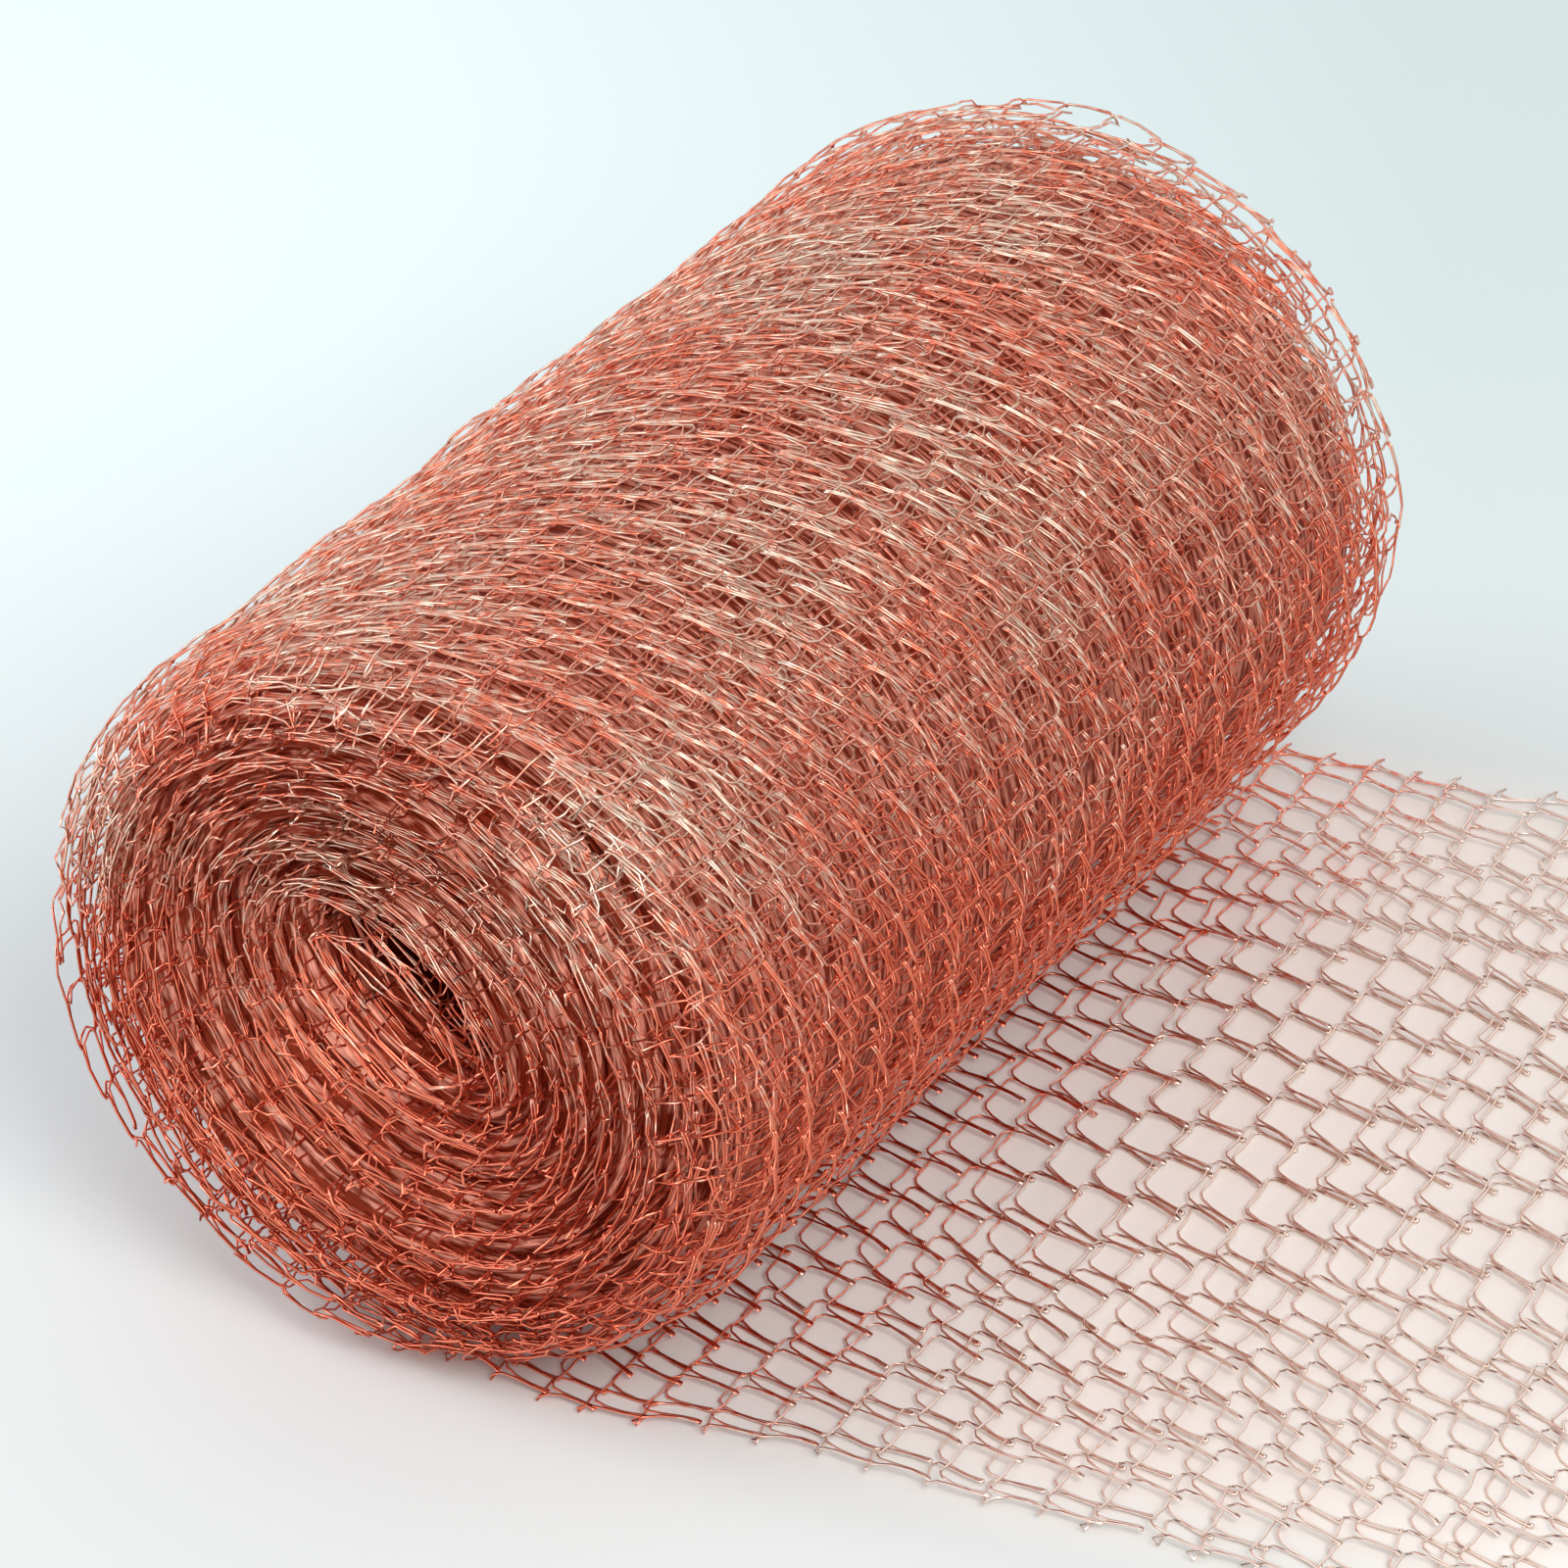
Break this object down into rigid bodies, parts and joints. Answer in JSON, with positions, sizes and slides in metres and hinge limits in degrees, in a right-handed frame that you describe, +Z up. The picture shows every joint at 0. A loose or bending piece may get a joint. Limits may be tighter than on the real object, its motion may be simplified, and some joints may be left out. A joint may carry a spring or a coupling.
{
  "type": "copper mesh roll",
  "caption": "Roll of knitted copper wire mesh, a flattened tube wound into a soft cylinder that lies on its side, with its loose end spread out flat beside it.",
  "frame": {"origin": "middle of the footprint of roll and loose end together, on the surface that they lie on", "axes": "+Z up; +Y along the roll's axis, from the end with the slack outer turn to the other; +X the way the loose end runs out from under the roll"},
  "size_m": [0.162, 0.1516, 0.0702],
  "materials": {
    "copper_wire": "bare bright copper wire, knitted, no coating"
  },
  "bodies": {
    "root": {"copper_mesh": "copper_wire"}
  },
  "joints": []
}
